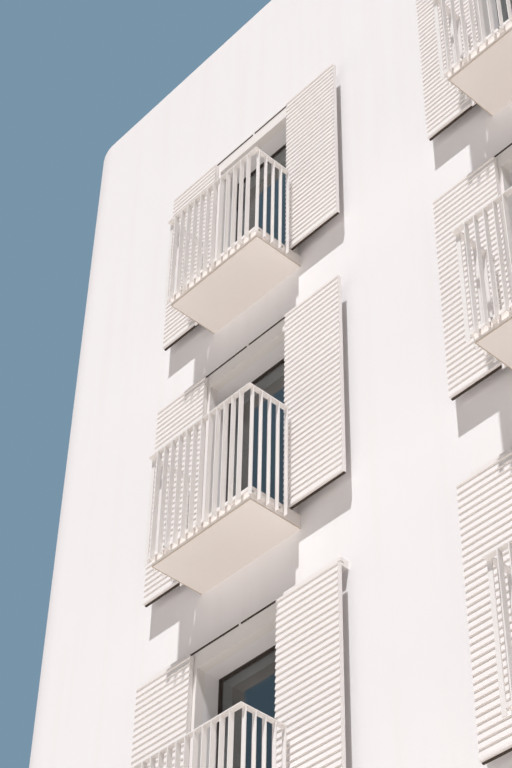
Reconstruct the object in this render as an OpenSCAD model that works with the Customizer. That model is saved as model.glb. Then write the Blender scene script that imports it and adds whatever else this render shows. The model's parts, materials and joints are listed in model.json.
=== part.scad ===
// Apartment block with rounded corners, louvred sliding shutters and small balconies.
// Millimetres, Z up, the front faces -Y, and the origin is at ground level under the
// middle of the whole block, balconies included.

/* [Block] */
// Bays across the front and across the back
bays_front = 3; // [2:1:4]
// Bays along each side
bays_side = 2; // [1:1:3]
// Distance between the centres of two bays
bay = 3445; // [3100:5:4200]
// Distance from an end bay's centre to the outer face round the corner
end_margin = 3160; // [2600:10:4000]
// Outer radius of the block's rounded corners
corner_r = 550; // [450:10:1300]
// Thickness of the outer walls
wall_t = 300; // [290:10:400]

/* [Storeys] */
// Storeys above the ground storey
upper_storeys = 4; // [1:1:6]
// Height of the ground storey's floor over the ground
plinth_h = 150; // [60:10:400]
// Height of the first upper floor over the ground
first_floor_z = 4075; // [3400:5:4800]
// Height from one upper floor to the next
storey_h = 3000; // [2800:10:3400]
// Height from the last upper floor to the roof terrace
roof_rise = 3125; // [2900:5:3600]
// Height of the parapet over the roof terrace
parapet_h = 1420; // [500:10:1800]
// Thickness of the floor slabs
slab_t = 250; // [160:10:350]
// Thickness of the roof slab
roof_t = 320; // [200:10:450]

/* [Balcony doors] */
// Width of a balcony door's opening, and of the entrance under them
door_w = 984; // [840:2:1200]
// Height of a balcony door's opening over its floor
door_h = 2070; // [1980:5:2200]
// Height of the entrance's opening over the ground floor
entrance_h = 2400; // [2100:10:2900]
// How far doors and windows are set back from the wall's outer face
reveal = 140; // [60:5:230]
// Depth of a door or window frame
frame_d = 50; // [40:2:80]
// Width of the dark frame that shows round the glass
frame_w = 18; // [15:1:70]
// Width of the bar where the two leaves of a window or of the entrance meet
meeting_w = 34; // [30:2:90]
// Thickness of the glass
glass_t = 28; // [8:1:36]
// Width of the face of the surround that stands out round a balcony door
surround_w = 47; // [30:1:80]
// How far that surround stands out from the wall
surround_d = 88; // [40:1:90]

/* [Plain windows] */
// Width of a window opening
window_w = 1100; // [700:10:1300]
// Height of a window opening
window_h = 1300; // [800:10:1500]
// Height of a window's sill over its floor
sill_h = 900; // [400:10:1100]
// Thickness of a stone window sill
sill_t = 40; // [25:1:60]
// How far a window sill stands out from the wall
sill_out = 35; // [15:1:60]

/* [Balconies] */
// How far a balcony slab reaches past its door's opening on each side
balcony_over = 88; // [80:1:150]
// How far a balcony slab stands out from the wall
balcony_d = 526; // [400:2:900]
// Thickness of a balcony slab
balcony_t = 135; // [90:5:200]

/* [Railings] */
// Height of the handrail's top over the balcony floor
rail_z = 1000; // [900:5:1200]
// Width of the flat handrail
rail_w = 48; // [40:1:80]
// Thickness of the handrail
rail_t = 10; // [6:1:20]
// Distance between two upright flats
flat_pitch = 92.5; // [70:0.5:120]
// Thickness of an upright flat
flat_t = 8; // [6:1:16]
// Depth of the flats along the front
front_flat_d = 45; // [20:1:60]
// Depth of the flats along the sides
side_flat_d = 38; // [20:1:60]
// Gap between the slab's front edge and the flats
front_gap = 38; // [15:1:80]
// Gap between the slab's sides and the flats
side_gap = 12; // [6:1:40]
// Least gap between the end of a railing and a shutter leaf
railing_clear = 25; // [15:1:80]
// How far the flats end above the underside of the slab
flat_rise = 10; // [0:1:50]
// Height of the bar that holds the feet of the flats off the slab
base_h = 34; // [20:1:50]

/* [Shutters] */
// How much wider a sliding shutter leaf is than half the door's opening
leaf_cover = 160; // [100:1:220]
// How far a leaf's head stands over the head of the opening
leaf_over = 112; // [80:1:140]
// Thickness of a shutter leaf
leaf_t = 46; // [40:1:60]
// Gap between the wall and the back of a leaf
leaf_gap = 94; // [92:1:120]
// Height of a leaf's lower end over the balcony floor
leaf_rise = 12; // [8:1:60]
// Distance from the edge of the opening to the inner edge of an open leaf
leaf_clear = 32; // [0:1:120]
// How much further closed the right-hand leaf stands at an end bay of the second storey
leaf_ajar = 70; // [0:1:400]
// Width of the stile behind the slats on each side of a leaf
stile_w = 14; // [10:1:60]
// Height of the plain rails at a leaf's head and foot
leaf_rail_h = 20; // [18:1:80]
// Height that one slat covers
slat_pitch = 60; // [40:1:90]
// How far a slat's lip stands over the slat below it
slat_lip = 12; // [6:1:16]
// Thickness of the slats behind their lips
slat_core = 14; // [8:1:16]
// Height of the track that the leaves hang from
track_h = 72; // [60:1:90]
// Height of the track's face under its slot
track_lip_h = 28; // [20:1:35]
// Height of the slot in the track's face
slot_h = 12; // [8:1:16]
// How far that slot is over a leaf's head
slot_rise = 38; // [32:1:70]

/* [Hidden] */
$fn = 96;
touch = 0.3;                                  // gap left between a hung leaf and its track
front_w = (bays_front - 1) * bay + 2 * end_margin;
side_w = (bays_side - 1) * bay + 2 * end_margin;
balcony_w = door_w + 2 * balcony_over;
flats_y = balcony_d + front_gap;              // back of the front flats, front of the corner flats
balcony_reach = flats_y + front_flat_d;
flats_x = balcony_w / 2 + side_gap + side_flat_d;
plan_shift = (balcony_reach - sill_out) / 2;  // centres the block between railings and back sills
roof_z = first_floor_z + (upper_storeys - 1) * storey_h + roof_rise;
top_z = roof_z + parapet_h;
window_top = sill_h + window_h;
leaf_w = door_w / 2 + leaf_cover;
leaf_h = door_h - leaf_rise + leaf_over;
leaf_open = door_w / 2 + leaf_clear;          // from the bay's centre to an open leaf
leaf_front = leaf_gap + leaf_t;
stile_t = leaf_t - slat_lip - 1;              // the stiles stay behind the slats' lips
front_flats = round((2 * flats_x - 2 * side_flat_d) / flat_pitch) - 1;
side_flats = floor((flats_y - leaf_front - railing_clear - flat_t) / flat_pitch);
base_z = (flat_rise - balcony_t - base_h) / 2;
spacer_w = 40;                                // width of the spacers behind the front base bar
stop_w = 30;                                  // width of the stop in the middle of a track
slot_z = leaf_rise + leaf_h + slot_rise;
slot_d = 40;                                  // depth of the slot in the track's face
track_z = slot_z - track_lip_h;
foot_slot_w = 20;                             // width of the dark slot under a leaf
foot_slot_h = 14;                             // depth of that slot
foot_lip = 5;                                 // thickness of the leaf's front before that slot
hanger_w = 60;                                // width of the angle that a leaf hangs by
hanger_t = 8;                                 // thickness of that angle behind the track's face
hanger_in = 30;                               // how far it reaches into the track's slot
entrance_bay = floor(bays_front / 2);

// Floor levels: 0 is the ground storey and 1 the first storey with balconies
function floor_z(level) = level == 0 ? plinth_h : first_floor_z + (level - 1) * storey_h;
function bay_x(i, bays) = (i - (bays - 1) / 2) * bay;
function mid_depth() = reveal + frame_d / 2;

// Lowest and highest point of each hole in one column of a facade, from the ground up
function window_hole(level) = [floor_z(level) + sill_h, floor_z(level) + window_top];
function front_hole(i, level) =
    level > 0 ? [floor_z(level), floor_z(level) + door_h]
    : i == entrance_bay ? [plinth_h, plinth_h + entrance_h]
    : window_hole(0);
function front_holes(i) = [for (level = [0 : upper_storeys]) front_hole(i, level)];
function window_holes() = [for (level = [0 : upper_storeys]) window_hole(level)];

// The block's plan is centred, then moved back so that the balconies are in the middle too
module on_plan() translate([0, plan_shift, 0]) children();

// A facade's own frame: x runs to the right along it, its outer face is y = 0, outside is -y
module on_front() on_plan() translate([0, -side_w / 2, 0]) children();
module on_back() on_plan() rotate(180) translate([0, -side_w / 2, 0]) children();
module on_right() on_plan() rotate(90) translate([0, -front_w / 2, 0]) children();
module on_left() on_plan() rotate(-90) translate([0, -front_w / 2, 0]) children();

// A block given by its corners
module block(x, y, z) translate([x[0], y[0], z[0]]) cube([x[1] - x[0], y[1] - y[0], z[1] - z[0]]);

// The plan of the rooms inside the walls, with the walls' inner corner radius
module inner_plan() {
    r = corner_r - wall_t;
    a = front_w - 2 * wall_t;
    b = side_w - 2 * wall_t;
    square([a - 2 * r, b], center = true);
    square([a, b - 2 * r], center = true);
    for (sx = [-1, 1], sy = [-1, 1]) translate([sx * (a / 2 - r), sy * (b / 2 - r)]) circle(r);
}
module floor_plate(z_top, t) on_plan() translate([0, 0, z_top - t]) linear_extrude(t) inner_plan();

// Piers stand from the ground to the parapet's top, between the columns of openings
module piers(width, bays, hole_w) {
    end = width / 2 - corner_r;
    for (i = [0 : bays]) {
        x0 = i == 0 ? -end : bay_x(i - 1, bays) + hole_w / 2;
        x1 = i == bays ? end : bay_x(i, bays) - hole_w / 2;
        block([x0, x1], [0, wall_t], [0, top_z]);
    }
}
// The wall under, between and over the openings of one column
module spandrels(x, hole_w, holes) {
    n = len(holes);
    for (i = [0 : n])
        block([x - hole_w / 2, x + hole_w / 2], [0, wall_t],
              [i == 0 ? 0 : holes[i - 1][1], i == n ? top_z : holes[i][0]]);
}
module window_spandrels(bays) for (i = [0 : bays - 1])
    spandrels(bay_x(i, bays), window_w, window_holes());

// A frame that fills an opening, with an upright bar where two leaves meet
module frame(w, z0, z1, meeting) {
    difference() {
        block([-w / 2, w / 2], [reveal, reveal + frame_d], [z0, z1]);
        block([-w / 2 + frame_w, w / 2 - frame_w], [reveal - 1, reveal + frame_d + 1],
              [z0 + frame_w, z1 - frame_w]);
    }
    if (meeting)
        block([-meeting_w / 2, meeting_w / 2], [reveal, mid_depth() - glass_t / 2],
              [z0 + frame_w / 2, z1 - frame_w / 2]);
}
module pane(w, z0, z1)
    block([-w / 2 + frame_w, w / 2 - frame_w],
          [mid_depth() - glass_t / 2, mid_depth() + glass_t / 2], [z0 + frame_w, z1 - frame_w]);
// Three sides round a balcony door, flush with its opening and out from the wall, up to the
// track of the shutters
module surround() difference() {
    half = door_w / 2 + surround_w;
    block([-half, half], [-surround_d, 0], [0, track_z]);
    block([-door_w / 2, door_w / 2], [-surround_d - 1, 1], [-1, door_h]);
}
module sill(w, z)
    block([-w / 2, w / 2], [-sill_out, reveal], [z, z + sill_t]);

// Runs its children at every window of a plain facade, at the height of that window's sill
module at_windows(bays) for (i = [0 : bays - 1], level = [0 : upper_storeys])
    translate([bay_x(i, bays), 0, floor_z(level) + sill_h]) children();
// The same at the ground storey's windows in the front
module at_front_windows() on_front() for (i = [0 : bays_front - 1]) if (i != entrance_bay)
    translate([bay_x(i, bays_front), 0, floor_z(0) + sill_h]) children();
// The same at every balcony, at the height of its floor
module at_balconies() on_front() for (i = [0 : bays_front - 1], level = [1 : upper_storeys])
    translate([bay_x(i, bays_front), 0, floor_z(level)]) children();
module at_entrance() on_front() translate([bay_x(entrance_bay, bays_front), 0, plinth_h]) children();

module window_frame() frame(window_w, sill_t, window_h, true);
module window_pane() pane(window_w, sill_t, window_h);
module window_sill() sill(window_w, 0);

// Section of a leaf's slats, y outward from the leaf's back, z up: each slat slopes out
// to a lip that stands over the slat below, and the lips are the front of the leaf
module slat_section(h) {
    n = max(1, round(h / slat_pitch));
    p = h / n;
    back = leaf_t - slat_core - slat_lip;
    foot = [for (i = [0 : n - 1]) each [[back + slat_core + slat_lip, i * p],
                                        [back + slat_core, (i + 1) * p]]];
    polygon(concat([[back, 0]], foot, [[back, h]]));
}
// One leaf, its inner edge at x = 0 and its foot at z = 0, with the angles it hangs by
module leaf() translate([0, -leaf_gap, 0]) {
    slats_h = leaf_h - 2 * leaf_rail_h;
    for (x = [0, leaf_w - stile_w]) block([x, x + stile_w], [-stile_t, 0], [0, leaf_h]);
    block([0, leaf_w], [-leaf_t, 0], [leaf_h - leaf_rail_h, leaf_h]);
    difference() {
        block([0, leaf_w], [-leaf_t, 0], [0, leaf_rail_h]);
        block([stile_w, leaf_w - stile_w], [foot_lip - leaf_t, foot_lip + foot_slot_w - leaf_t],
              [-1, foot_slot_h]);
    }
    translate([0, 0, leaf_rail_h]) rotate([90, 0, 90]) mirror([1, 0])
        linear_extrude(leaf_w) slat_section(slats_h);
    for (x = [leaf_w / 5, leaf_w * 4 / 5]) {
        block([x - hanger_w / 2, x + hanger_w / 2], [-hanger_t, 0],
              [leaf_h, leaf_h + slot_rise + slot_h - touch]);
        block([x - hanger_w / 2, x + hanger_w / 2], [-hanger_t, leaf_gap - surround_d + hanger_in],
              [leaf_h + slot_rise + touch, leaf_h + slot_rise + slot_h - touch]);
    }
}
// The track over a door, flush with its surround, with a slot along its face that only the
// stop in the middle closes
module track() {
    end = leaf_open + leaf_w * 4 / 5 + hanger_w * 2 / 3;
    difference() {
        block([-end, end], [-surround_d, 0], [track_z, track_z + track_h]);
        for (x = [-end - 1, stop_w / 2])
            block([x, x + end + 1 - stop_w / 2], [-surround_d - 1, slot_d - surround_d],
                  [slot_z, slot_z + slot_h]);
    }
}

// Flat handrail and upright flats in front of a balcony, with their base bar on spacers
module railing_front() {
    block([-flats_x, flats_x], [-balcony_reach, rail_w - balcony_reach], [rail_z - rail_t, rail_z]);
    for (i = [0 : front_flats - 1]) {
        x = (i - (front_flats - 1) / 2) * flat_pitch;
        block([x - flat_t / 2, x + flat_t / 2], [-balcony_reach, -flats_y],
              [flat_rise - balcony_t, rail_z - rail_t]);
    }
    block([-balcony_w / 2, balcony_w / 2], [-flats_y, flat_t - flats_y],
          [base_z, base_z + base_h]);
    for (x = [-1, 0, 1] * balcony_w / 3)
        block([x - spacer_w / 2, x + spacer_w / 2], [flat_t - flats_y, -balcony_d],
              [base_z, base_z + base_h]);
}
// Handrail, base bar, corner flat and side flats on a balcony's right-hand side
module railing_side() {
    y_end = side_flats * flat_pitch + flat_t - flats_y;
    block([flats_x - rail_w, flats_x], [rail_w - balcony_reach, y_end], [rail_z - rail_t, rail_z]);
    for (i = [0 : side_flats]) {
        y = i * flat_pitch - flats_y;
        block([flats_x - side_flat_d, flats_x], [y, y + flat_t],
              [flat_rise - balcony_t, rail_z - rail_t]);
    }
    block([balcony_w / 2, flats_x - side_flat_d], [-flats_y, y_end],
          [base_z, base_z + base_h]);
}

module ground_slab() color([0.80, 0.78, 0.76]) floor_plate(plinth_h, plinth_h);
module floor_slabs() color([0.80, 0.78, 0.76])
    for (level = [1 : upper_storeys]) floor_plate(floor_z(level), slab_t);
module roof_slab() color([0.80, 0.78, 0.76]) floor_plate(roof_z, roof_t);

module corner_walls() color([0.95, 0.93, 0.93]) on_plan() for (turn = [0 : 90 : 270]) {
    half_x = turn % 180 == 0 ? front_w / 2 : side_w / 2;
    half_y = turn % 180 == 0 ? side_w / 2 : front_w / 2;
    rotate(turn) translate([half_x - corner_r, half_y - corner_r, 0])
        rotate_extrude(angle = 90) translate([corner_r - wall_t, 0]) square([wall_t, top_z]);
}
module front_piers() color([0.95, 0.93, 0.93]) on_front() piers(front_w, bays_front, door_w);
module front_spandrels() color([0.95, 0.93, 0.93]) on_front() for (i = [0 : bays_front - 1])
    spandrels(bay_x(i, bays_front), door_w, front_holes(i));
module back_piers() color([0.95, 0.93, 0.93]) on_back() piers(front_w, bays_front, window_w);
module back_spandrels() color([0.95, 0.93, 0.93]) on_back() window_spandrels(bays_front);
module left_piers() color([0.95, 0.93, 0.93]) on_left() piers(side_w, bays_side, window_w);
module left_spandrels() color([0.95, 0.93, 0.93]) on_left() window_spandrels(bays_side);
module right_piers() color([0.95, 0.93, 0.93]) on_right() piers(side_w, bays_side, window_w);
module right_spandrels() color([0.95, 0.93, 0.93]) on_right() window_spandrels(bays_side);

module balcony_slabs() color([0.92, 0.89, 0.87]) at_balconies()
    block([-balcony_w / 2, balcony_w / 2], [-balcony_d, 0], [-balcony_t, 0]);
module door_surrounds() color([0.95, 0.93, 0.92]) at_balconies() surround();
module railing_fronts() color([0.96, 0.94, 0.93]) at_balconies() railing_front();
module railing_left_sides() color([0.96, 0.94, 0.93]) at_balconies() mirror([1, 0, 0]) railing_side();
module railing_right_sides() color([0.96, 0.94, 0.93]) at_balconies() railing_side();

module left_shutters() color([0.93, 0.90, 0.88]) at_balconies()
    mirror([1, 0, 0]) translate([leaf_open, 0, leaf_rise]) leaf();
module right_shutters() color([0.93, 0.90, 0.88]) on_front()
    for (i = [0 : bays_front - 1], level = [1 : upper_storeys])
        translate([bay_x(i, bays_front) + leaf_open - (i == 0 && level == 2 ? leaf_ajar : 0), 0,
                   floor_z(level) + leaf_rise]) leaf();
module shutter_tracks() color([0.94, 0.92, 0.90]) at_balconies() track();

module balcony_door_frames() color([0.18, 0.16, 0.15]) at_balconies() frame(door_w, 0, door_h, false);
module balcony_door_glass() color([0.35, 0.40, 0.44]) at_balconies() pane(door_w, 0, door_h);
module entrance_frame() color([0.18, 0.16, 0.15]) at_entrance() frame(door_w, 0, entrance_h, true);
module entrance_glass() color([0.35, 0.40, 0.44]) at_entrance() pane(door_w, 0, entrance_h);

module front_window_frames() color([0.18, 0.16, 0.15]) at_front_windows()
    frame(door_w, sill_t, window_h, true);
module front_window_glass() color([0.35, 0.40, 0.44]) at_front_windows()
    pane(door_w, sill_t, window_h);
module front_sills() color([0.90, 0.88, 0.86]) at_front_windows() sill(door_w, 0);

module back_window_frames() color([0.18, 0.16, 0.15]) on_back() at_windows(bays_front) window_frame();
module back_window_glass() color([0.35, 0.40, 0.44]) on_back() at_windows(bays_front) window_pane();
module back_sills() color([0.90, 0.88, 0.86]) on_back() at_windows(bays_front) window_sill();
module left_window_frames() color([0.18, 0.16, 0.15]) on_left() at_windows(bays_side) window_frame();
module left_window_glass() color([0.35, 0.40, 0.44]) on_left() at_windows(bays_side) window_pane();
module left_sills() color([0.90, 0.88, 0.86]) on_left() at_windows(bays_side) window_sill();
module right_window_frames() color([0.18, 0.16, 0.15]) on_right() at_windows(bays_side) window_frame();
module right_window_glass() color([0.35, 0.40, 0.44]) on_right() at_windows(bays_side) window_pane();
module right_sills() color([0.90, 0.88, 0.86]) on_right() at_windows(bays_side) window_sill();

ground_slab();
floor_slabs();
roof_slab();
corner_walls();
front_piers();
front_spandrels();
back_piers();
back_spandrels();
left_piers();
left_spandrels();
right_piers();
right_spandrels();
balcony_slabs();
door_surrounds();
railing_fronts();
railing_left_sides();
railing_right_sides();
left_shutters();
right_shutters();
shutter_tracks();
balcony_door_frames();
balcony_door_glass();
entrance_frame();
entrance_glass();
front_window_frames();
front_window_glass();
front_sills();
back_window_frames();
back_window_glass();
back_sills();
left_window_frames();
left_window_glass();
left_sills();
right_window_frames();
right_window_glass();
right_sills();
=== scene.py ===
# %% [markdown]
# # An apartment block with sliding louvred shutters
# The solids of the block come from CAD: walls, slabs, balconies, railings, shutters, doors
# and windows. This lesson gives each of them its finish, adds the small pieces that a
# builder fixes last, and sets up a camera that looks up at the balconies from the street.

import json
import math

import bpy
from mathutils import Matrix, Vector


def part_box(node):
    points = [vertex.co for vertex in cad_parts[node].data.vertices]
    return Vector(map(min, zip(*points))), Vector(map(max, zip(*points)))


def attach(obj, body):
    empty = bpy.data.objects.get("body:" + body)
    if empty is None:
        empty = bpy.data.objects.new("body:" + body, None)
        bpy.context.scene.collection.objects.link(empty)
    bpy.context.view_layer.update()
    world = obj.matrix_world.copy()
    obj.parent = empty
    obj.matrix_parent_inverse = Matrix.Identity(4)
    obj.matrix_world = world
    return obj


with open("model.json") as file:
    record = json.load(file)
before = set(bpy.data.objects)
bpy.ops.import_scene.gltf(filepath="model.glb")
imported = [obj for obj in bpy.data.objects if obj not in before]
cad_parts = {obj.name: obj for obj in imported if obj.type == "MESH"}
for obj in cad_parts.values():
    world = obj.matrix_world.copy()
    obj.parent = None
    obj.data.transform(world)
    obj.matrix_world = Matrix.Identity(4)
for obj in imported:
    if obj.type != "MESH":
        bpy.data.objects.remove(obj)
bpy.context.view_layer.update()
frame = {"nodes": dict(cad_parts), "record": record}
nodes = frame["nodes"]

# %% [markdown]
# ## The measures that the pieces share
# Small pieces sit on the CAD solids, so they need the same measures. A bay is one column of
# openings. Heights count from the ground, and the front wall's face is taken from the model.

# %% Measures of the block, in metres
BAYS = (-3.445, 0.0, 3.445)
FLOORS = (4.075, 7.075, 10.075, 13.075)
WALL_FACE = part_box("front_piers")[0].y
print("front wall face at y =", round(WALL_FACE, 4))

# %% [markdown]
# ## The camera
# The photographer stood on the pavement and looked up steeply, so upright edges lean
# towards each other. A camera in Blender looks along its own -Z, so it is first tipped up
# from the ground, then turned, and its small roll is set about its own axis.

# %% The camera, from its place on the pavement
CAMERA_PLACE = (4.632, WALL_FACE - 7.14, 1.56)
CAMERA_TURN = math.radians(48.454)
CAMERA_PITCH = math.radians(43.783)
CAMERA_ROLL = math.radians(1.341)
LENS_PIXELS = 1721.2
FRAME_PIXELS = 768
SENSOR = 36.0
CLIP_END = 2000.0

camera_data = bpy.data.cameras.new("street_camera")
camera_data.sensor_width = SENSOR
camera_data.sensor_fit = "AUTO"
camera_data.lens = LENS_PIXELS / FRAME_PIXELS * SENSOR
camera_data.clip_end = CLIP_END
camera = bpy.data.objects.new("street_camera", camera_data)
bpy.context.scene.collection.objects.link(camera)
turned = (Matrix.Rotation(CAMERA_TURN, 4, "Z")
          @ Matrix.Rotation(math.pi / 2 + CAMERA_PITCH, 4, "X")
          @ Matrix.Rotation(CAMERA_ROLL, 4, "Z"))
camera.matrix_world = Matrix.Translation(CAMERA_PLACE) @ turned
bpy.context.scene.camera = camera
print("lens", round(camera_data.lens, 2), "mm")

# %% [markdown]
# ## Colours and nodes
# Colours are picked as sRGB hex values, as a paint chart gives them. Blender's shaders work
# with linear light, so one function turns the first into the second. Another small function
# adds a node, and links a socket wherever the value that it is given is an output. A Mix
# node has several sockets called A, so the one in use is found by its enabled mark.

# %% Helpers for materials
def linear(hex_colour):
    channels = [int(hex_colour[i:i + 2], 16) / 255 for i in (1, 3, 5)]
    return [*(c / 12.92 if c <= 0.04045 else ((c + 0.055) / 1.055) ** 2.4 for c in channels), 1.0]


def in_use(sockets, name):
    if isinstance(name, int):
        return sockets[name]
    return next(socket for socket in sockets if socket.name == name and socket.enabled)


def add_node(tree, kind, sockets=None, output=0, **settings):
    node = tree.nodes.new(kind)
    for name, value in settings.items():
        setattr(node, name, value)
    for name, value in (sockets or {}).items():
        if isinstance(value, bpy.types.NodeSocket):
            tree.links.new(value, in_use(node.inputs, name))
        else:
            in_use(node.inputs, name).default_value = value
    return in_use(node.outputs, output) if node.outputs else node


def start_material(name, **shader_values):
    material = bpy.data.materials.new(name)
    material.use_nodes = True
    tree = material.node_tree
    tree.nodes.clear()
    surface = add_node(tree, "ShaderNodeBsdfPrincipled", shader_values)
    add_node(tree, "ShaderNodeOutputMaterial", {"Surface": surface})
    place = add_node(tree, "ShaderNodeTexCoord", output="Object")
    return material, tree, surface.node, place


# %% [markdown]
# ## Painted mineral render
# The walls are masonry with a mineral render, felted by hand and painted white. The felt
# leaves sand grain, the hand leaves long soft waves, and rain leaves faint upright marks.
# Sand is about 1 mm, too fine to show from the street, so it is drawn 14 mm wide.

# %% Wall render
GRAIN = 0.014
TROWEL_WAVE = 0.7
CLOUD = 3.0
STREAK_W = 0.16

wall_render, tree, shader, place = start_material(
    "felted_mineral_render_white_paint", Roughness=0.9, IOR=1.45)
clouds = add_node(tree, "ShaderNodeTexNoise",
                  {"Vector": place, "Scale": 1 / CLOUD, "Detail": 6.0, "Roughness": 0.55})
streak_place = add_node(tree, "ShaderNodeMapping", {"Vector": place, "Scale": (1.0, 1.0, 0.05)})
streaks = add_node(tree, "ShaderNodeTexNoise",
                   {"Vector": streak_place, "Scale": 1 / STREAK_W, "Detail": 3.0})
streak_part = add_node(tree, "ShaderNodeMapRange",
                       {"Value": streaks, "From Min": 0.5, "From Max": 0.85,
                        "To Min": 0.0, "To Max": 0.5})
clean_paint = add_node(tree, "ShaderNodeMix",
                       {"Factor": clouds, "A": linear("#F8F6F7"), "B": linear("#F5F2F3")},
                       output="Result", data_type="RGBA")
rained_paint = add_node(tree, "ShaderNodeMix",
                        {"Factor": streak_part, "A": clean_paint, "B": linear("#F1EDEC")},
                        output="Result", data_type="RGBA")
waves = add_node(tree, "ShaderNodeTexNoise",
                 {"Vector": place, "Scale": 1 / TROWEL_WAVE, "Detail": 2.0})
grain = add_node(tree, "ShaderNodeTexNoise",
                 {"Vector": place, "Scale": 1 / GRAIN, "Detail": 4.0, "Roughness": 0.7})
wave_bump = add_node(tree, "ShaderNodeBump",
                     {"Height": waves, "Strength": 0.5, "Distance": 0.006})
grain_bump = add_node(tree, "ShaderNodeBump",
                      {"Height": grain, "Strength": 0.35, "Distance": 0.002, "Normal": wave_bump})
tree.links.new(rained_paint, shader.inputs["Base Color"])
tree.links.new(grain_bump, shader.inputs["Normal"])

# %% [markdown]
# ## Smooth render on the balcony slabs
# The slabs are cast concrete, filled smooth and painted in a slightly warmer white. The paint
# is a little duller in patches, spread all over the slab.

# %% Balcony render
PATCH = 0.9
FILLER = 0.05

balcony_render, tree, shader, place = start_material(
    "smooth_painted_concrete_warm_white", Roughness=0.8, IOR=1.45)
patches = add_node(tree, "ShaderNodeTexNoise",
                   {"Vector": place, "Scale": 1 / PATCH, "Detail": 5.0, "Roughness": 0.6})
slab_paint = add_node(tree, "ShaderNodeMix",
                      {"Factor": patches, "A": linear("#F6F0EC"), "B": linear("#F0E8E2")},
                      output="Result", data_type="RGBA")
filler = add_node(tree, "ShaderNodeTexNoise",
                  {"Vector": place, "Scale": 1 / FILLER, "Detail": 5.0, "Roughness": 0.65})
filler_bump = add_node(tree, "ShaderNodeBump",
                       {"Height": filler, "Strength": 0.3, "Distance": 0.003})
tree.links.new(slab_paint, shader.inputs["Base Color"])
tree.links.new(filler_bump, shader.inputs["Normal"])

# %% [markdown]
# ## Screeded concrete floors
# Floors and the roof terrace are plain power-floated screed: grey, blotchy from the float,
# with pores. The blotches are about half a metre wide and the pores lie 40 mm apart.

# %% Floor concrete
BLOTCH = 0.5
PORE_PITCH = 0.04

floor_concrete, tree, shader, place = start_material(
    "power_floated_screed", Roughness=0.75, IOR=1.5)
blotches = add_node(tree, "ShaderNodeTexNoise",
                    {"Vector": place, "Scale": 1 / BLOTCH, "Detail": 7.0, "Roughness": 0.62})
screed = add_node(tree, "ShaderNodeMix",
                  {"Factor": blotches, "A": linear("#B9B5AF"), "B": linear("#9C978F")},
                  output="Result", data_type="RGBA")
pores = add_node(tree, "ShaderNodeTexVoronoi", {"Vector": place, "Scale": 1 / PORE_PITCH})
pore_bump = add_node(tree, "ShaderNodeBump",
                     {"Height": pores, "Strength": 0.2, "Distance": 0.002})
tree.links.new(screed, shader.inputs["Base Color"])
tree.links.new(pore_bump, shader.inputs["Normal"])

# %% [markdown]
# ## Satin enamel on steel
# The railings are steel flats, brushed with white satin enamel over a primer. Enamel sags
# into a fine orange peel and yellows a little in patches.

# %% Railing paint
YELLOW_PATCH = 0.35
PEEL = 0.008

railing_paint, tree, shader, place = start_material(
    "satin_white_enamel_on_steel", Roughness=0.42, IOR=1.5)
yellowing = add_node(tree, "ShaderNodeTexNoise",
                     {"Vector": place, "Scale": 1 / YELLOW_PATCH, "Detail": 3.0})
enamel = add_node(tree, "ShaderNodeMix",
                  {"Factor": yellowing, "A": linear("#F8F5F4"), "B": linear("#F1EBE7")},
                  output="Result", data_type="RGBA")
peel = add_node(tree, "ShaderNodeTexNoise", {"Vector": place, "Scale": 1 / PEEL, "Detail": 2.0})
peel_bump = add_node(tree, "ShaderNodeBump",
                     {"Height": peel, "Strength": 0.15, "Distance": 0.001})
tree.links.new(enamel, shader.inputs["Base Color"])
tree.links.new(peel_bump, shader.inputs["Normal"])

# %% [markdown]
# ## Powder coat on aluminium slats
# The shutter leaves are folded aluminium with an off-white powder coat. Street dust settles
# on what faces up, so the surface's own normal mixes a dust colour into ledges and lips.

# %% Shutter paint
FADE_PATCH = 0.6
POWDER = 0.006

shutter_paint, tree, shader, place = start_material(
    "offwhite_powder_coat_on_aluminium", Roughness=0.5, IOR=1.5)
fade = add_node(tree, "ShaderNodeTexNoise",
                {"Vector": place, "Scale": 1 / FADE_PATCH, "Detail": 3.0})
coat = add_node(tree, "ShaderNodeMix",
                {"Factor": fade, "A": linear("#F8F4F2"), "B": linear("#F3EDEA")},
                output="Result", data_type="RGBA")
facing = add_node(tree, "ShaderNodeNewGeometry", output="Normal")
facing_up = add_node(tree, "ShaderNodeSeparateXYZ", {"Vector": facing}, output="Z")
dust_part = add_node(tree, "ShaderNodeMapRange",
                     {"Value": facing_up, "From Min": 0.4, "From Max": 1.0,
                      "To Min": 0.0, "To Max": 0.7})
dusty_coat = add_node(tree, "ShaderNodeMix",
                      {"Factor": dust_part, "A": coat, "B": linear("#D8CFC6")},
                      output="Result", data_type="RGBA")
powder = add_node(tree, "ShaderNodeTexNoise", {"Vector": place, "Scale": 1 / POWDER, "Detail": 2.0})
powder_bump = add_node(tree, "ShaderNodeBump",
                       {"Height": powder, "Strength": 0.15, "Distance": 0.0008})
tree.links.new(dusty_coat, shader.inputs["Base Color"])
tree.links.new(powder_bump, shader.inputs["Normal"])

# %% [markdown]
# ## Powder coat on the door surrounds
# The surrounds that stand out round the balcony doors are folded sheet, coated matt white.
# Folded sheet is never quite flat: it waves a little over half a metre.

# %% Surround paint
SHEET_WAVE = 0.5

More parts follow.
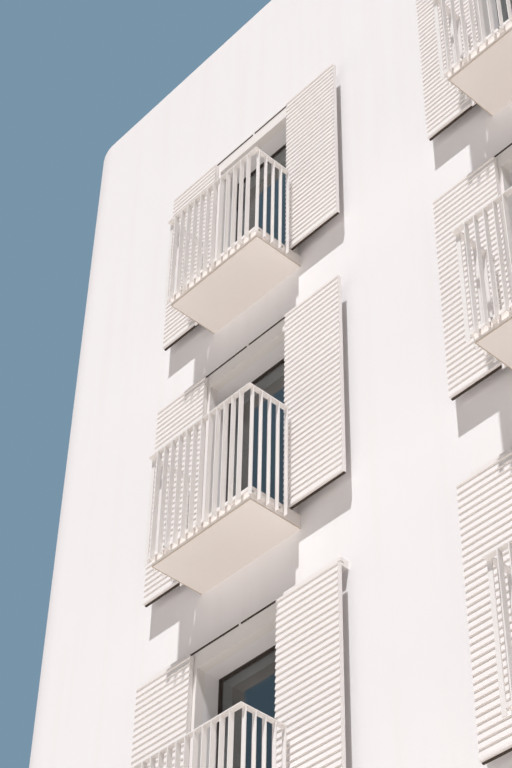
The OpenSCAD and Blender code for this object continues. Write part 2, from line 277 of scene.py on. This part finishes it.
surround_paint, tree, shader, place = start_material(
    "matt_white_powder_coat_on_folded_sheet", Roughness=0.85, IOR=1.5)
bloom = add_node(tree, "ShaderNodeTexNoise",
                 {"Vector": place, "Scale": 1 / SHEET_WAVE, "Detail": 4.0})
white_coat = add_node(tree, "ShaderNodeMix",
                      {"Factor": bloom, "A": linear("#F6F2F0"), "B": linear("#F0EAE6")},
                      output="Result", data_type="RGBA")
sheet = add_node(tree, "ShaderNodeTexNoise",
                 {"Vector": place, "Scale": 1 / SHEET_WAVE, "Detail": 1.0})
sheet_bump = add_node(tree, "ShaderNodeBump",
                      {"Height": sheet, "Strength": 0.4, "Distance": 0.004})
tree.links.new(white_coat, shader.inputs["Base Color"])
tree.links.new(sheet_bump, shader.inputs["Normal"])

# %% [markdown]
# ## Dark powder coat on the door and window frames
# Frames are extruded aluminium in a matt dark brown. A fine powder texture breaks up the
# highlights, and the brown varies a little along a bar.

# %% Frame paint
BROWN_PATCH = 0.4
FINE_POWDER = 0.005

frame_paint, tree, shader, place = start_material(
    "matt_dark_brown_powder_coat", Roughness=0.55, IOR=1.5)
tone = add_node(tree, "ShaderNodeTexNoise",
                {"Vector": place, "Scale": 1 / BROWN_PATCH, "Detail": 4.0})
brown = add_node(tree, "ShaderNodeMix",
                 {"Factor": tone, "A": linear("#3A322D"), "B": linear("#2E2824")},
                 output="Result", data_type="RGBA")
texture = add_node(tree, "ShaderNodeTexNoise",
                   {"Vector": place, "Scale": 1 / FINE_POWDER, "Detail": 2.0})
texture_bump = add_node(tree, "ShaderNodeBump",
                        {"Height": texture, "Strength": 0.2, "Distance": 0.0006})
tree.links.new(brown, shader.inputs["Base Color"])
tree.links.new(texture_bump, shader.inputs["Normal"])

# %% [markdown]
# ## Double glazing
# Solar glass is very smooth and tinted a faint grey-green, so the rooms behind it look dark.
# Its mirror comes from the index of refraction, 1.5. A double pane has four faces that
# mirror and the solid has two, so a clear coat stands for the others. Rolling leaves glass
# very slightly wavy over 300 mm, which bends reflections without being seen itself.

# %% Glass
TINT_CLOUD = 1.0
ROLLER_WAVE = 0.3

glass, tree, shader, place = start_material(
    "float_glass_double_glazing",
    **{"Roughness": 0.02, "IOR": 1.5, "Transmission Weight": 1.0,
       "Coat Weight": 1.0, "Coat Roughness": 0.02, "Coat IOR": 1.5})
depth_tint = add_node(tree, "ShaderNodeTexNoise",
                      {"Vector": place, "Scale": 1 / TINT_CLOUD, "Detail": 1.0})
glass_tint = add_node(tree, "ShaderNodeMix",
                      {"Factor": depth_tint, "A": linear("#D0D8D7"), "B": linear("#CAD4D4")},
                      output="Result", data_type="RGBA")
rolling = add_node(tree, "ShaderNodeTexNoise",
                   {"Vector": place, "Scale": 1 / ROLLER_WAVE, "Detail": 1.0})
rolling_bump = add_node(tree, "ShaderNodeBump",
                        {"Height": rolling, "Strength": 0.1, "Distance": 0.002})
tree.links.new(glass_tint, shader.inputs["Base Color"])
tree.links.new(rolling_bump, shader.inputs["Normal"])

# %% [markdown]
# ## Honed limestone
# Window sills are pale limestone, honed matt, with small shell specks and soft veins.

# %% Sill stone
VEIN = 0.25
SPECK = 0.012

sill_stone, tree, shader, place = start_material("honed_pale_limestone", Roughness=0.6, IOR=1.5)
veins = add_node(tree, "ShaderNodeTexNoise",
                 {"Vector": place, "Scale": 1 / VEIN, "Detail": 8.0, "Distortion": 1.5})
stone = add_node(tree, "ShaderNodeMix",
                 {"Factor": veins, "A": linear("#EFEAE2"), "B": linear("#E0D9CF")},
                 output="Result", data_type="RGBA")
specks = add_node(tree, "ShaderNodeTexVoronoi", {"Vector": place, "Scale": 1 / SPECK})
speck_bump = add_node(tree, "ShaderNodeBump",
                      {"Height": specks, "Strength": 0.1, "Distance": 0.001})
tree.links.new(stone, shader.inputs["Base Color"])
tree.links.new(speck_bump, shader.inputs["Normal"])

# %% [markdown]
# ## The finishes go on the CAD solids
# The record names one material slot for each node, so the finish follows the slot.

# %% Finishes on the nodes
FINISHES = {
    "wall_render": wall_render, "floor_concrete": floor_concrete,
    "balcony_render": balcony_render, "railing_paint": railing_paint,
    "shutter_paint": shutter_paint, "surround_paint": surround_paint,
    "frame_paint": frame_paint, "glass": glass, "sill_stone": sill_stone,
}
for part in frame["record"]["subparts"]:
    node_object = nodes[part["node"]]
    node_object.data.materials.clear()
    node_object.data.materials.append(FINISHES[part["material_slot"]])

# %% [markdown]
# ## Weathered rubber for seals and gaskets
# Seals are extruded EPDM rubber. It is sold near black, and after some summers outdoors it is
# fully matt and faded to a dark grey-brown, in patches.

# %% Rubber
RUBBER_PATCH = 0.2
RUBBER_SKIN = 0.004

# On the track brushes and the leaf feet this dark colour is also painted shade of the slot and the
# hollow under a leaf; on the gaskets it is the rubber's own colour.
rubber, tree, shader, place = start_material("weathered_epdm_rubber_and_painted_slot_shade", Roughness=0.8, IOR=1.5)
fading = add_node(tree, "ShaderNodeTexNoise",
                  {"Vector": place, "Scale": 1 / RUBBER_PATCH, "Detail": 4.0})
faded_rubber = add_node(tree, "ShaderNodeMix",
                        {"Factor": fading, "A": linear("#4E3F36"), "B": linear("#3D312A")},
                        output="Result", data_type="RGBA")
skin = add_node(tree, "ShaderNodeTexNoise",
                {"Vector": place, "Scale": 1 / RUBBER_SKIN, "Detail": 2.0})
skin_bump = add_node(tree, "ShaderNodeBump",
                     {"Height": skin, "Strength": 0.2, "Distance": 0.0005})
tree.links.new(faded_rubber, shader.inputs["Base Color"])
tree.links.new(skin_bump, shader.inputs["Normal"])

# %% [markdown]
# ## Sand-coloured metal for the drip edges
# Drip angles are bought coated in a sand or brown tone, and dust clings to their wet lower
# edge. The coating is satin, a little darker than the slab, and mottled along its length.

# %% Drip metal
DUST_PATCH = 0.08
COAT_GRAIN = 0.003

drip_metal, tree, shader, place = start_material("sand_coated_metal", Roughness=0.45)
dust_patches = add_node(tree, "ShaderNodeTexNoise",
                        {"Vector": place, "Scale": 1 / DUST_PATCH, "Detail": 4.0})
sand = add_node(tree, "ShaderNodeMix",
                {"Factor": dust_patches, "A": linear("#D0C2B2"), "B": linear("#C0B09D")},
                output="Result", data_type="RGBA")
drip_grain = add_node(tree, "ShaderNodeTexNoise",
                      {"Vector": place, "Scale": 1 / COAT_GRAIN, "Detail": 2.0})
drip_bump = add_node(tree, "ShaderNodeBump",
                     {"Height": drip_grain, "Strength": 0.1, "Distance": 0.0003})
tree.links.new(sand, shader.inputs["Base Color"])
tree.links.new(drip_bump, shader.inputs["Normal"])

# %% [markdown]
# ## Stainless steel for bolts and handles
# Fixings outdoors are stainless steel, turned or rolled and left matt. A fine grain along
# the surface breaks the highlight, and the colour is a slightly warm grey.

# %% Stainless steel
STEEL_CLOUD = 0.02
STEEL_GRAIN = 0.001

steel, tree, shader, place = start_material("matt_stainless_steel", Roughness=0.38, Metallic=1.0)
steel_cloud = add_node(tree, "ShaderNodeTexNoise",
                       {"Vector": place, "Scale": 1 / STEEL_CLOUD, "Detail": 3.0})
steel_tone = add_node(tree, "ShaderNodeMix",
                      {"Factor": steel_cloud, "A": linear("#C9C5C0"), "B": linear("#B4B0AB")},
                      output="Result", data_type="RGBA")
steel_grain = add_node(tree, "ShaderNodeTexNoise",
                       {"Vector": place, "Scale": 1 / STEEL_GRAIN, "Detail": 2.0})
steel_bump = add_node(tree, "ShaderNodeBump",
                      {"Height": steel_grain, "Strength": 0.1, "Distance": 0.0003})
tree.links.new(steel_tone, shader.inputs["Base Color"])
tree.links.new(steel_bump, shader.inputs["Normal"])

# %% [markdown]
# ## Helpers for small pieces
# Each small piece starts the same way: everything else is deselected, a cube is added between
# two corners, and its size is applied to the mesh. Faces and edges are then picked in code by
# where they lie and face, after a deselect in edit mode, since a new cube is selected all
# over. Edges are bevelled like a real extrusion's, and the finished piece gets its name,
# finish and body.

# %% Helpers for pieces
def start_block(low, high):
    low, high = Vector(low), Vector(high)
    bpy.ops.object.select_all(action="DESELECT")
    bpy.ops.mesh.primitive_cube_add(size=1.0, location=(low + high) / 2, scale=high - low)
    bpy.ops.object.transform_apply(location=True, rotation=True, scale=True)
    return bpy.context.object


def pick(piece, kind, elements, wanted):
    bpy.ops.object.mode_set(mode="EDIT")
    bpy.ops.mesh.select_mode(type=kind)
    bpy.ops.mesh.select_all(action="DESELECT")
    bpy.ops.object.mode_set(mode="OBJECT")
    for element in elements:
        element.select = wanted(element)
    bpy.ops.object.mode_set(mode="EDIT")


def pick_faces(piece, wanted):
    pick(piece, "FACE", piece.data.polygons, wanted)


def pick_edges(piece, wanted):
    corners = piece.data.vertices
    pick(piece, "EDGE", piece.data.edges,
         lambda edge: wanted(*(corners[i].co for i in edge.vertices)))


def bevel_edges(piece, wanted, width, segments=2):
    pick_edges(piece, wanted)
    bpy.ops.mesh.bevel(offset=width, offset_type="OFFSET", segments=segments, affect="EDGES")
    bpy.ops.object.mode_set(mode="OBJECT")


def join_pieces(pieces):
    bpy.ops.object.select_all(action="DESELECT")
    for piece in pieces:
        piece.select_set(True)
    bpy.context.view_layer.objects.active = pieces[0]
    bpy.ops.object.join()
    return bpy.context.object


def copies_at(piece, places):
    copies = []
    for spot in places:
        copy = piece.copy()
        copy.data = piece.data.copy()
        bpy.context.scene.collection.objects.link(copy)
        copy.matrix_world = spot if isinstance(spot, Matrix) else Matrix.Translation(spot)
        copies.append(copy)
    bpy.data.objects.remove(piece)
    bpy.ops.object.select_all(action="DESELECT")
    for copy in copies:
        copy.select_set(True)
    bpy.context.view_layer.objects.active = copies[0]
    bpy.ops.object.transform_apply(location=True, rotation=True, scale=True)
    return join_pieces(copies)


def finish_piece(piece, name, material):
    piece.name = piece.data.name = name
    piece.data.materials.clear()
    piece.data.materials.append(material)
    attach(piece, "root")
    print(name, "faces:", len(piece.data.polygons))


BALCONIES = [Vector((x, WALL_FACE, z)) for x in BAYS for z in FLOORS]

# %% [markdown]
# ## Rubber feet and painted strips of the shutter leaves
# A rubber lip under the back of a leaf keeps it from rattling over the slab. From the street
# it is the dark line under each leaf. Its dark colour is partly painted shade, standing in for
# the shaded hollow under the leaf. It could be a folded profile, but only its rounded underside
# shows, so it is a bar with its lower edges rounded. The groove in front of it is closed by a
# painted strip with eased edges. Each is made once, as wide as a leaf allows, and copied to
# all 24 leaves.

# %% Shutter leaf feet
LEAF_W = 0.652
LEAF_OPEN = 0.524
LEAF_AJAR = 0.070
LEAF_FRONT = -0.140
LEAF_BACK = -0.094
LEAF_FOOT = 0.012
STILE_W = 0.014
LIP_SHORT = 0.002
LIP_DEEP = 0.020
LIP_DROP = 0.009
GROOVE_FRONT = LEAF_FRONT + 0.005
GROOVE_BACK = LEAF_FRONT + 0.025
LOOSE_FIT = 0.0005
AJAR_PLACE = Vector((BAYS[0], WALL_FACE, FLOORS[1]))
leaf_starts = []
for corner in BALCONIES:
    ajar = LEAF_AJAR if corner == AJAR_PLACE else 0.0
    leaf_starts += [corner + Vector((-LEAF_OPEN - LEAF_W, 0, 0)),
                    corner + Vector((LEAF_OPEN - ajar, 0, 0))]

# This lip's dark rubber is partly painted shade under the leaf.
foot_seal_painting_shade = start_block((LIP_SHORT, LEAF_BACK - 0.001 - LIP_DEEP, LEAF_FOOT - LIP_DROP),
                   (LEAF_W - LIP_SHORT, LEAF_BACK - 0.001, LEAF_FOOT - 0.0003))
bevel_edges(foot_seal_painting_shade, lambda a, b: max(a.z, b.z) < LEAF_FOOT - 0.005 and abs(a.x - b.x) > 0.1,
            0.003, segments=3)
finish_piece(copies_at(foot_seal_painting_shade, leaf_starts), "leaf_foot_seals_painting_shade", rubber)

strip = start_block((STILE_W + LOOSE_FIT, GROOVE_FRONT + LOOSE_FIT, LEAF_FOOT + LOOSE_FIT),
                    (LEAF_W - STILE_W - LOOSE_FIT, GROOVE_BACK - LOOSE_FIT, LEAF_FOOT + 0.012))
bevel_edges(strip, lambda a, b: max(a.z, b.z) < LEAF_FOOT + 0.001 and abs(a.x - b.x) > 0.1,
            0.0015)
finish_piece(copies_at(strip, leaf_starts), "leaf_foot_strips", shutter_paint)

# %% [markdown]
# ## Brushes in the tracks
# The slot in a track's face lets the angles of the leaves through, and a dark brush closes
# it against birds and dust. It shows as one thin dark line over each door. Its dark colour is
# partly painted shade, standing in for the shade inside the slot. A brush has two bars with
# eased edges: a holder in the slot, and the tuft that stands five millimetres out of it and
# laps over its lips. There is one on each side of the stop in the middle, and it ends where
# the first angle of a leaf comes through.

# %% Track brushes
SLOT_LOW = 2.220
SLOT_HIGH = 2.232
TRACK_FACE = -0.088
STOP_HALF = 0.015
ANGLE_HALF = 0.030
FIRST_ANGLE = LEAF_W * 0.2
BRUSH_CLEAR = 0.002
HOLDER_DEEP = 0.012
HOLDER_FIT = 0.0002
TUFT_PROUD = 0.005


def make_brushes_painting_slot_shade(ajar):
    bars = []
    for side in (-1, 1):
        leaf_edge = LEAF_OPEN - (ajar if side > 0 else 0.0)
        reach = leaf_edge + FIRST_ANGLE - ANGLE_HALF - BRUSH_CLEAR
        left, right = sorted((side * STOP_HALF, side * reach))
        holder = start_block((left, TRACK_FACE - 0.001, SLOT_LOW + HOLDER_FIT),
                             (right, TRACK_FACE + HOLDER_DEEP, SLOT_HIGH - HOLDER_FIT))
        bevel_edges(holder, lambda a, b: min(a.y, b.y) > TRACK_FACE and abs(a.x - b.x) > 0.1,
                    0.0015)
        # The tuft's dark rubber is partly painted shade: it makes the slot read dark.
        tuft_painting_slot_shade = start_block((left, TRACK_FACE - TUFT_PROUD, SLOT_LOW - 0.003),
                           (right, TRACK_FACE - 0.0003, SLOT_HIGH + 0.002))
        bevel_edges(tuft_painting_slot_shade, lambda a, b: (max(a.y, b.y) < TRACK_FACE - 0.004
                                        and abs(a.x - b.x) > 0.1), 0.0015)
        bars += [holder, tuft_painting_slot_shade]
    return join_pieces(bars)


plain_tracks = copies_at(make_brushes_painting_slot_shade(0.0), [c for c in BALCONIES if c != AJAR_PLACE])
ajar_track = copies_at(make_brushes_painting_slot_shade(LEAF_AJAR), [AJAR_PLACE])
finish_piece(join_pieces([plain_tracks, ajar_track]), "track_brushes_painting_slot_shade", rubber)

# %% [markdown]
# ## Drip edges under the balconies
# A thin angle of coloured metal is cast into a slab's lower edges, so that rain drops off
# there and does not run back along the underside. It shows as a thin sandy line along
# three sides. A bar along the front is cut near both ends, and the two short pieces of its
# back are pulled out towards the wall.

# %% Slab drip edges
SLAB_HALF = 0.580
SLAB_OUT = 0.526
SLAB_UNDER = -0.135
DRIP_WIDE = 0.005
DRIP_PROUD = 0.0015
DRIP_DOWN = 0.002
DRIP_UP = 0.004
WALL_GAP = 0.001

drip = start_block((-SLAB_HALF - DRIP_PROUD, -SLAB_OUT - DRIP_PROUD, SLAB_UNDER - DRIP_DOWN),
                   (SLAB_HALF + DRIP_PROUD, -SLAB_OUT + DRIP_WIDE, SLAB_UNDER + DRIP_UP))
for cut in (-SLAB_HALF + DRIP_WIDE, SLAB_HALF - DRIP_WIDE):
    bpy.ops.object.mode_set(mode="EDIT")
    bpy.ops.mesh.select_all(action="SELECT")
    bpy.ops.mesh.bisect(plane_co=(cut, 0, 0), plane_no=(1, 0, 0))
    bpy.ops.object.mode_set(mode="OBJECT")
pick_faces(drip, lambda face: face.normal.y > 0.9 and abs(face.center.x) > SLAB_HALF - DRIP_WIDE)
bpy.ops.mesh.extrude_region_move(
    TRANSFORM_OT_translate={"value": (0, SLAB_OUT - DRIP_WIDE - WALL_GAP, 0)})
bpy.ops.object.mode_set(mode="OBJECT")
bevel_edges(drip, lambda a, b: max(a.z, b.z) < SLAB_UNDER and max(a.y, b.y) < -SLAB_OUT,
            0.001, segments=1)
finish_piece(copies_at(drip, BALCONIES), "slab_drip_edges", drip_metal)

# %% [markdown]
# ## Bolts that hold the railings
# The base bars are bolted through their spacers into the edge of the slab. A bolt shows a
# washer and a six-sided head: a disc whose rim is eased, and a six-sided one with its top
# corners taken off. Both are made lying flat and then turned to face out.

# %% Railing bolts
WASHER = (14, 0.011, 0.0, 0.002)
HEAD = (6, 0.0085, 0.002, 0.0095)
BASE_MIDDLE = -0.0625
FLATS_OUT = 0.564
BAR_SIDE = 0.592
FRONT_BOLTS_X = (-0.387, 0.0, 0.387)
SIDE_BOLTS_Y = (-0.5138, -0.2363)


def start_disc(sides, radius, low, high):
    bpy.ops.object.select_all(action="DESELECT")
    bpy.ops.mesh.primitive_cylinder_add(vertices=sides, radius=radius, depth=high - low,
                                        location=(0, 0, (low + high) / 2))
    bpy.ops.object.transform_apply(location=True, rotation=True, scale=True)
    disc = bpy.context.object
    bevel_edges(disc, lambda a, b: min(a.z, b.z) > high - 0.0001, (high - low) / 5, segments=1)
    return disc


bolt = join_pieces([start_disc(*WASHER), start_disc(*HEAD)])
face_front = Matrix.Rotation(math.pi / 2, 4, "X")
face_right = Matrix.Rotation(math.pi / 2, 4, "Y")
face_left = Matrix.Rotation(-math.pi / 2, 4, "Y")
bolt_places = []
for corner in BALCONIES:
    for x in FRONT_BOLTS_X:
        spot = corner + Vector((x, -FLATS_OUT, BASE_MIDDLE))
        bolt_places.append(Matrix.Translation(spot) @ face_front)
    for y in SIDE_BOLTS_Y:
        for side, turn in ((1, face_right), (-1, face_left)):
            spot = corner + Vector((side * BAR_SIDE, y, BASE_MIDDLE))
            bolt_places.append(Matrix.Translation(spot) @ turn)
finish_piece(copies_at(bolt, bolt_places), "railing_bolts", steel)

# %% [markdown]
# ## Weld beads on the railings
# Each upright flat is welded to the handrail over it, and the bead is painted with the rest.
# A bead is a short bar in the corner between two faces. Its free edge is rounded off, so it
# reads as a soft fillet and not as a second bar.

# %% Weld beads
BEAD = 0.005
BEAD_HALF = 0.019
PITCH = 0.0925
FRONT_FLATS = 12
SIDE_FLATS = 4
FLAT_HALF = 0.004
RAIL_UNDER = 0.990
FRONT_FLATS_Y = -0.5865
SIDE_FLATS_X = 0.611

bead = start_block((0.0, -BEAD_HALF, -BEAD), (BEAD, BEAD_HALF, 0.0))
bevel_edges(bead, lambda a, b: min(a.x, b.x) > BEAD * 0.8 and max(a.z, b.z) < -BEAD * 0.8,
            BEAD * 0.9)
bead_places = []
for corner in BALCONIES:
    for i in range(FRONT_FLATS):
        x = (i - (FRONT_FLATS - 1) / 2) * PITCH
        for side, turn in ((1, 0.0), (-1, math.pi)):
            spot = corner + Vector((x + side * FLAT_HALF, FRONT_FLATS_Y, RAIL_UNDER))
            bead_places.append(Matrix.Translation(spot) @ Matrix.Rotation(turn, 4, "Z"))
    for i in range(1, SIDE_FLATS + 1):
        y = i * PITCH - FLATS_OUT
        for x in (-SIDE_FLATS_X, SIDE_FLATS_X):
            for edge, turn in ((y, -math.pi / 2), (y + 2 * FLAT_HALF, math.pi / 2)):
                spot = corner + Vector((x, edge, RAIL_UNDER))
                bead_places.append(Matrix.Translation(spot) @ Matrix.Rotation(turn, 4, "Z"))
finish_piece(copies_at(bead, bead_places), "handrail_welds", railing_paint)

# %% [markdown]
# ## Places of the doors and windows on all four sides
# A window is modelled once, as if it stood in the front wall at x = 0 with its floor at
# z = 0. A place is then a turn of the whole block's plan and a shift along one facade.

# %% Places on the facades
PLAN_BACK = 0.287
SILL_RISE = 0.900
GROUND = 0.150
SIDE_BAYS = (-1.7225, 1.7225)
STOREYS = (GROUND,) + FLOORS


def facade_place(turn, out, x, z):
    return (Matrix.Translation((0, PLAN_BACK, 0)) @ Matrix.Rotation(math.radians(turn), 4, "Z")
            @ Matrix.Translation((x, -out, z)))


OUT_FRONT = PLAN_BACK - WALL_FACE
OUT_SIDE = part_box("right_piers")[1].x
door_places = [Matrix.Translation(corner) for corner in BALCONIES]
entrance_places = [facade_place(0, OUT_FRONT, 0.0, GROUND)]
front_window_places = [facade_place(0, OUT_FRONT, x, GROUND + SILL_RISE) for x in BAYS if x]
plain_window_places = [facade_place(180, OUT_FRONT, x, z + SILL_RISE)
                       for x in BAYS for z in STOREYS]
for turn in (90, -90):
    plain_window_places += [facade_place(turn, OUT_SIDE, x, z + SILL_RISE)
                            for x in SIDE_BAYS for z in STOREYS]
print("doors", len(door_places), "plain windows", len(plain_window_places))

# %% [markdown]
# ## Gaskets round the glass
# A rubber gasket seals the glass against its frame, and its soft edge catches a thin dark
# line of its own. It starts as a plate as large as the pane: both faces are inset and the
# two smaller faces are bridged, which leaves a ring. The ring's inner edge is then rounded.

# %% Glazing gaskets
GASKET = 0.007
GASKET_DEEP = 0.004
GLASS_FACE = 0.151
PANE_HALF = 0.474
WIDE_PANE_HALF = 0.532
MEETING_HALF = 0.017
DOOR_PANE = (0.018, 2.052)
ENTRANCE_PANE = (0.018, 2.382)
WINDOW_PANE = (0.058, 1.282)


def make_gasket(x0, x1, z0, z1):
    ring = start_block((x0, GLASS_FACE - GASKET_DEEP, z0), (x1, GLASS_FACE, z1))
    pick_faces(ring, lambda face: abs(face.normal.y) > 0.9)
    bpy.ops.mesh.inset(thickness=GASKET, use_individual=True)
    bpy.ops.mesh.bridge_edge_loops()
    bpy.ops.mesh.select_all(action="SELECT")
    bpy.ops.mesh.normals_make_consistent(inside=False)
    bpy.ops.mesh.select_all(action="DESELECT")
    bpy.ops.object.mode_set(mode="OBJECT")
    inside = (x0 + GASKET * 0.5, x1 - GASKET * 0.5)
    bevel_edges(ring, lambda a, b: (max(a.y, b.y) < GLASS_FACE - 0.003
                                    and inside[0] < min(a.x, b.x) and max(a.x, b.x) < inside[1]),
                0.002)
    return ring


gaskets = [copies_at(make_gasket(-PANE_HALF, PANE_HALF, *DOOR_PANE), door_places)]
for side in (-1, 1):
    for half, heights, places in ((PANE_HALF, ENTRANCE_PANE, entrance_places),
                                  (PANE_HALF, WINDOW_PANE, front_window_places),
                                  (WIDE_PANE_HALF, WINDOW_PANE, plain_window_places)):
        left, right = sorted((side * MEETING_HALF, side * half))
        gaskets.append(copies_at(make_gasket(left, right, *heights), places))
finish_piece(join_pieces(gaskets), "glazing_gaskets", rubber)

# %% [markdown]
# ## The inner half of each meeting bar
# Where two leaves meet, the CAD has the bar's outer half in front of the glass. The inner
# half lies behind it, with its long edges eased as on an extruded bar.

# %% Inner meeting bars
GLASS_BACK = 0.179
FRAME_BACK = 0.190


def make_inner_bar(z0, z1):
    bar = start_block((-MEETING_HALF, GLASS_BACK, z0), (MEETING_HALF, FRAME_BACK, z1))
    bevel_edges(bar, lambda a, b: min(a.y, b.y) > FRAME_BACK - 0.002 and abs(a.z - b.z) > 0.1,
                0.002)
    return bar


bars = join_pieces([copies_at(make_inner_bar(*ENTRANCE_PANE), entrance_places),
                    copies_at(make_inner_bar(*WINDOW_PANE),
                              front_window_places + plain_window_places)])
finish_piece(bars, "inner_meeting_bars", frame_paint)

# %% [markdown]
# ## Door sills
# Under each balcony door and the entrance lies a stone sill that falls outwards, so that rain
# runs off. A flat block gets its fall by moving its outer top edge down, and a small bevel
# eases the worn nose.

# %% Door sills
SILL_HALF = 0.4915
SILL_FRONT = 0.002
SILL_BACK = 0.139
SILL_THICK = 0.016
SILL_FALL = 0.006

sill = start_block((-SILL_HALF, SILL_FRONT, 0.0), (SILL_HALF, SILL_BACK, SILL_THICK))
pick_edges(sill, lambda a, b: min(a.z, b.z) > 0.01 and max(a.y, b.y) < 0.01)
bpy.ops.transform.translate(value=(0, 0, -SILL_FALL))
bpy.ops.object.mode_set(mode="OBJECT")
bevel_edges(sill, lambda a, b: (max(a.y, b.y) < 0.01 and min(a.z, b.z) > 0.005), 0.003)
finish_piece(copies_at(sill, door_places + entrance_places), "door_sills", sill_stone)

# %% [markdown]
# ## The entrance's pull handle
# The photo does not show the entrance, so it gets the plainest handle there is: an upright
# steel bar on two posts beside the meeting bar. The bar is a cylinder with rounded ends, and
# each post is a disc whose outer face is inset and pulled out to meet the bar.

# %% Entrance handle
HANDLE_X = 0.060
HANDLE_Y = 0.100
HANDLE_MIDDLE = 1.150
HANDLE_LONG = 0.600
GRIP_RADIUS = 0.015
POSTS_Z = (0.950, 1.350)
POST_RADIUS = 0.018
POST_THICK = 0.006
POST_PULL = 0.040

bpy.ops.object.select_all(action="DESELECT")
bpy.ops.mesh.primitive_cylinder_add(vertices=24, radius=GRIP_RADIUS, depth=HANDLE_LONG,
                                    location=(HANDLE_X, HANDLE_Y, HANDLE_MIDDLE))
bpy.ops.object.transform_apply(location=True, rotation=True, scale=True)
grip = bpy.context.object
bevel_edges(grip, lambda a, b: abs(a.z - b.z) < 0.001, 0.004, segments=3)
posts = []
for z in POSTS_Z:
    bpy.ops.object.select_all(action="DESELECT")
    bpy.ops.mesh.primitive_cylinder_add(vertices=24, radius=POST_RADIUS, depth=POST_THICK,
                                        location=(HANDLE_X, GLASS_FACE - POST_THICK / 2, z),
                                        rotation=(math.pi / 2, 0, 0))
    bpy.ops.object.transform_apply(location=True, rotation=True, scale=True)
    post = bpy.context.object
    pick_faces(post, lambda face: face.normal.y < -0.9)
    bpy.ops.mesh.inset(thickness=0.010)
    bpy.ops.mesh.extrude_region_move(TRANSFORM_OT_translate={"value": (0, -POST_PULL, 0)})
    bpy.ops.object.mode_set(mode="OBJECT")
    posts.append(post)
handle = copies_at(join_pieces([grip] + posts), entrance_places)
bpy.ops.object.shade_smooth_by_angle(angle=math.radians(35))
finish_piece(handle, "entrance_handle", steel)

# %% [markdown]
# ## The floor and the light
# A wide pale floor catches the block's shadow and throws light up at the soffits, as a
# bright street does. The sun comes steeply from the front right and is a little soft. The
# sky is even. What the camera sees behind the block is a pale blue-grey, which sets off the
# white walls, and glass and metal mirror that same tone. The floor looks a little darker to
# the eye than it is to the light, so that the foot of the sunlit walls stands out from it.

# %% What the eye sees
def seen_by_eye(tree):
    rays = [add_node(tree, "ShaderNodeLightPath", output=kind)
            for kind in ("Is Camera Ray", "Is Glossy Ray", "Is Transmission Ray")]
    first = add_node(tree, "ShaderNodeMath", {0: rays[0], 1: rays[1]}, operation="MAXIMUM")
    return add_node(tree, "ShaderNodeMath", {0: first, 1: rays[2]}, operation="MAXIMUM")


# %% Floor
FLOOR_SIDE = 600.0
FLOOR_CLOUD = 5.0
FLOOR_SEEN = "#D9D1C7"

bpy.ops.object.select_all(action="DESELECT")
bpy.ops.mesh.primitive_plane_add(size=FLOOR_SIDE, location=(0.0, 0.0, 0.0))
floor = bpy.context.object
floor.name = "studio_floor"
floor_paint, tree, shader, place = start_material("pale_studio_floor", Roughness=0.9)
floor_tone = add_node(tree, "ShaderNodeTexNoise",
                      {"Vector": place, "Scale": 1 / FLOOR_CLOUD, "Detail": 3.0})
floor_colour = add_node(tree, "ShaderNodeMix",
                        {"Factor": floor_tone, "A": linear("#F6EFE7"), "B": linear("#F2EBE2")},
                        output="Result", data_type="RGBA")
floor_seen = add_node(tree, "ShaderNodeMix",
                      {"Factor": seen_by_eye(tree), "A": floor_colour, "B": linear(FLOOR_SEEN)},
                      output="Result", data_type="RGBA")
tree.links.new(floor_seen, shader.inputs["Base Color"])
floor.data.materials.append(floor_paint)

# %% Sun and sky
SUN_TRAVEL = Vector((-0.39, 1.0, -1.93))
SUN_STRENGTH = 3.42
SUN_SOFTNESS = math.radians(1.5)
SUN_COLOUR = "#FEFEFF"
SKY_LIGHT = 0.10
SKY_COLOUR = "#EEEAFA"
BACKGROUND = "#7894A9"

sun_data = bpy.data.lights.new("soft_sun", "SUN")
sun_data.energy = SUN_STRENGTH
sun_data.angle = SUN_SOFTNESS
sun_data.color = linear(SUN_COLOUR)[:3]
sun = bpy.data.objects.new("soft_sun", sun_data)
sun.rotation_euler = SUN_TRAVEL.to_track_quat("-Z", "Y").to_euler()
bpy.context.scene.collection.objects.link(sun)

world = bpy.data.worlds.new("even_sky")
bpy.context.scene.world = world
world.use_nodes = True
tree = world.node_tree
tree.nodes.clear()
sky = add_node(tree, "ShaderNodeBackground",
               {"Color": linear(SKY_COLOUR), "Strength": SKY_LIGHT})
backdrop = add_node(tree, "ShaderNodeBackground", {"Color": linear(BACKGROUND), "Strength": 1.0})
sky_or_backdrop = add_node(tree, "ShaderNodeMixShader",
                           {0: seen_by_eye(tree), 1: sky, 2: backdrop})
add_node(tree, "ShaderNodeOutputWorld", {"Surface": sky_or_backdrop})

bpy.context.scene.view_settings.view_transform = "Standard"
